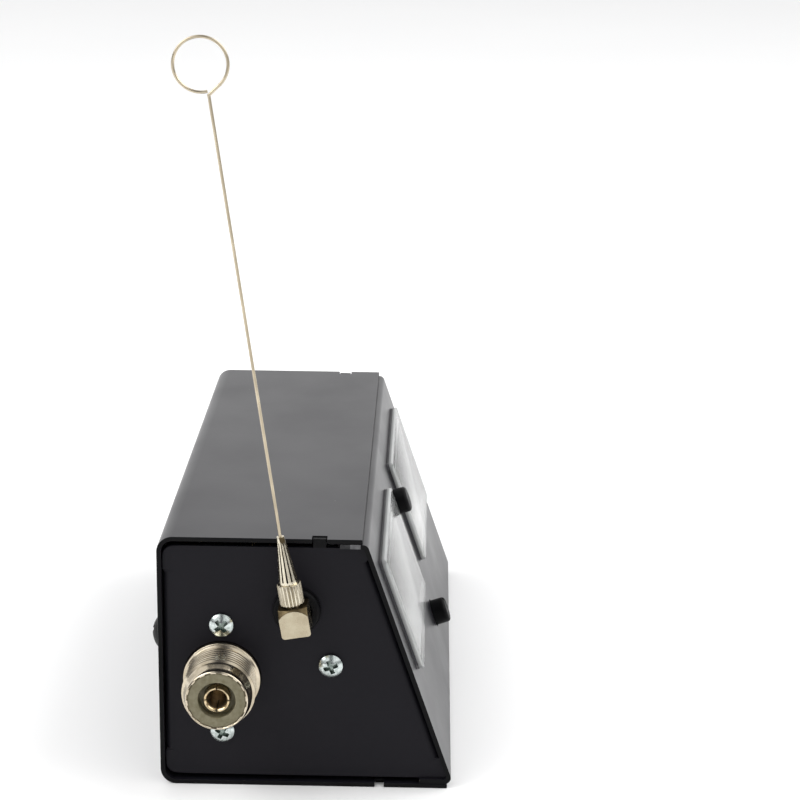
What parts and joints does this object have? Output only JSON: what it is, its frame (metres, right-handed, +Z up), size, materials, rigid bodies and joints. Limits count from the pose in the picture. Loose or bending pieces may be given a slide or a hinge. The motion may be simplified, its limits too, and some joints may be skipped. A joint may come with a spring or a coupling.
{
  "type": "analog swr meter",
  "caption": "Sheet-metal standing-wave meter box with sloping front, dial meters, push button, calibration knob, coaxial end sockets and a plug-in ringed whip antenna.",
  "frame": {"origin": "middle of the flat base of the case", "axes": "+Z up, +X along the case away from the whip, the dials face -Y"},
  "size_m": [0.1584, 0.0667, 0.1654],
  "materials": {
    "cover_paint": "semi-gloss black paint",
    "panel_paint": "semi-gloss black paint",
    "end_paint": "satin black paint",
    "black_screw": "black oxide",
    "nickel": "nickel-plated brass",
    "insulator": "moulded phenolic",
    "gold_contact": "gilt brass",
    "zinc": "zinc-plated steel",
    "bracket_steel": "plated steel sheet",
    "board": "phenolic circuit board",
    "green_board": "glass-fibre circuit board",
    "copper": "bare copper",
    "line_brass": "drawn brass",
    "component_tan": "lacquered component",
    "component_red": "glass and lacquer",
    "black_plastic": "moulded black plastic",
    "control_black": "moulded black plastic",
    "whip_metal": "worn nickel on brass",
    "whip_wire": "spring wire, toned plating",
    "clear": "clear acrylic",
    "dial_white": "matt white paint",
    "iron": "soft iron",
    "magnet": "sintered magnet",
    "bridge_brass": "stamped brass",
    "coil_copper": "enamelled copper",
    "pointer_black": "black lacquered aluminium",
    "wire_red": "insulated wire"
  },
  "bodies": {
    "case": {"wrap_cover": "cover_paint", "front_panel": "panel_paint", "left_end_panel": "end_paint", "right_end_panel": "end_paint", "cover_screws": "black_screw", "panel_screws": "zinc", "panel_nuts": "zinc", "left_board_bracket": "bracket_steel", "right_board_bracket": "bracket_steel", "board_screws": "zinc", "coupler_board": "board", "coupler_line": "line_brass", "pickup_wires": "copper", "load_resistors": "component_tan", "detector_diodes": "component_red", "bypass_capacitors": "component_tan", "jack_bushing": "black_plastic", "jack_collar": "black_plastic", "jack_contact": "line_brass", "control_board": "green_board", "control_board_spacers": "line_brass", "control_board_nuts": "zinc", "selector_switch": "black_plastic", "calibration_pot": "bracket_steel", "dial_screws": "zinc", "meter_tags": "line_brass", "hookup_wires": "wire_red", "left_socket_shell": "nickel", "left_socket_insulator": "insulator", "left_socket_contact": "gold_contact", "left_meter_housing": "black_plastic", "left_meter_window": "clear", "left_meter_dial": "dial_white", "left_meter_yoke": "iron", "left_meter_core": "magnet", "left_meter_bridge": "bridge_brass", "left_meter_jewels": "bridge_brass", "right_socket_shell": "nickel", "right_socket_insulator": "insulator", "right_socket_contact": "gold_contact", "right_meter_housing": "black_plastic", "right_meter_window": "clear", "right_meter_dial": "dial_white", "right_meter_yoke": "iron", "right_meter_core": "magnet", "right_meter_bridge": "bridge_brass", "right_meter_jewels": "bridge_brass"},
    "whip": {"whip_elbow": "whip_metal", "whip_knurled_nut": "whip_metal", "whip_collet": "whip_metal", "whip_wire": "whip_wire"},
    "selector_button": {"selector_button": "control_black"},
    "calibration_knob": {"calibration_knob": "control_black"},
    "left_needle": {"left_meter_coil": "coil_copper", "left_meter_pointer": "pointer_black"},
    "right_needle": {"right_meter_coil": "coil_copper", "right_meter_pointer": "pointer_black"}
  },
  "joints": [
    {"name": "whip_swivel", "type": "hinge", "parent": "case", "child": "whip", "pos_m": [-0.07235, 0.0024, 0.0416], "axis": [1, 0, 0], "range_deg": [-80, 99]},
    {"name": "button_press", "type": "slide", "parent": "case", "child": "selector_button", "axis": [0, 0.9444, -0.3289], "range_m": [0, 0.002], "stiffness_N_per_m": 300},
    {"name": "calibration_turn", "type": "hinge", "parent": "case", "child": "calibration_knob", "pos_m": [0, -0.02753, 0.01456], "axis": [0, -0.9444, 0.3289], "range_deg": [-140, 140]},
    {"name": "left_needle_swing", "type": "hinge", "parent": "case", "child": "left_needle", "pos_m": [-0.0344, -0.02467, 0.02278], "axis": [0, 0.9444, -0.3289], "range_deg": [0, 76], "stiffness_Nm_per_rad": 0.00002},
    {"name": "right_needle_swing", "type": "hinge", "parent": "case", "child": "right_needle", "pos_m": [0.0344, -0.02467, 0.02278], "axis": [0, 0.9444, -0.3289], "range_deg": [0, 76], "stiffness_Nm_per_rad": 0.00002}
  ]
}
